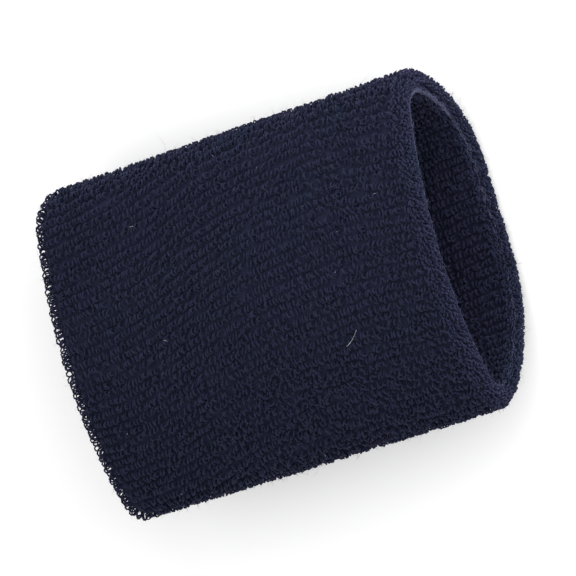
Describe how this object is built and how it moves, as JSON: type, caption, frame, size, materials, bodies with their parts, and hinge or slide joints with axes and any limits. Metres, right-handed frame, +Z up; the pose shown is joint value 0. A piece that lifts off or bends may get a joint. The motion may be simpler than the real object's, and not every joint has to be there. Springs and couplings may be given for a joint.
{
  "type": "sweat wristband",
  "caption": "Long double-walled terry sweat wristband, dark navy, lying relaxed and half open: an elastic knitted tube with loops outside and against the skin.",
  "frame": {"origin": "centre of the bounding box's bottom face, on the table that the band lies on", "axes": "+X along the arm towards the front opening, the one without a seam near it; +Y across the band; +Z up from the table"},
  "size_m": [0.1086, 0.077, 0.0365],
  "materials": {
    "terry_pile": "dark navy cotton terry loops, matt with a soft sheen",
    "ground_knit": "dark navy fine rib knit",
    "elastic_yarn": "covered rubber thread, off white",
    "seam_thread": "navy polyester sewing thread"
  },
  "bodies": {
    "root": {"outer_terry": "terry_pile", "front_fold_terry": "terry_pile", "rear_fold_terry": "terry_pile", "wrist_side_terry": "terry_pile", "ground_knit_tube": "ground_knit", "outer_elastic_yarns": "elastic_yarn", "lining_elastic_yarns": "elastic_yarn", "seam_allowance": "ground_knit", "closing_seam_thread": "seam_thread"}
  },
  "joints": []
}
